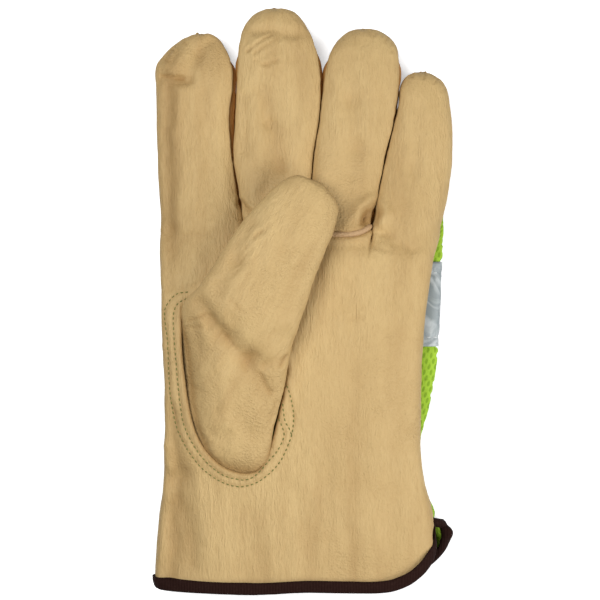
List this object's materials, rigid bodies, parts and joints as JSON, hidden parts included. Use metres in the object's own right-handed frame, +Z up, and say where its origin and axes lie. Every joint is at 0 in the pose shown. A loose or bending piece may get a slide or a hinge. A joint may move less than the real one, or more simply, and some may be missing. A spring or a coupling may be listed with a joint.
{
  "type": "leather driver glove",
  "caption": "Left-hand leather work glove lying palm up, with a mesh back, a reflective band and a bound open cuff.",
  "frame": {"origin": "centre of the bounding box on the surface the glove lies on", "axes": "+X towards the little finger's side, +Y along the fingers, +Z up out of the palm"},
  "size_m": [0.1269, 0.2506, 0.039],
  "materials": {
    "grain_leather": "natural grain, semi-matt",
    "strip_leather": "grain, darker, semi-matt",
    "welt_leather": "soft split, matt",
    "green_mesh": "knitted polyester mesh, matt",
    "reflective_tape": "glass-beaded tape, satin",
    "brown_binding": "woven tape, matt"
  },
  "bodies": {
    "root": {"palm": "grain_leather", "thumb": "grain_leather", "finger_base_welt": "welt_leather", "middle_finger_front": "grain_leather", "ring_finger_front": "grain_leather", "index_finger_back": "grain_leather", "middle_finger_back": "grain_leather", "ring_finger_back": "grain_leather", "pinky_finger_back": "grain_leather", "index_middle_fourchette": "strip_leather", "middle_ring_fourchette": "strip_leather", "ring_pinky_fourchette": "strip_leather", "back_panel": "green_mesh", "reflective_band": "reflective_tape", "cuff_binding": "brown_binding"}
  },
  "joints": []
}
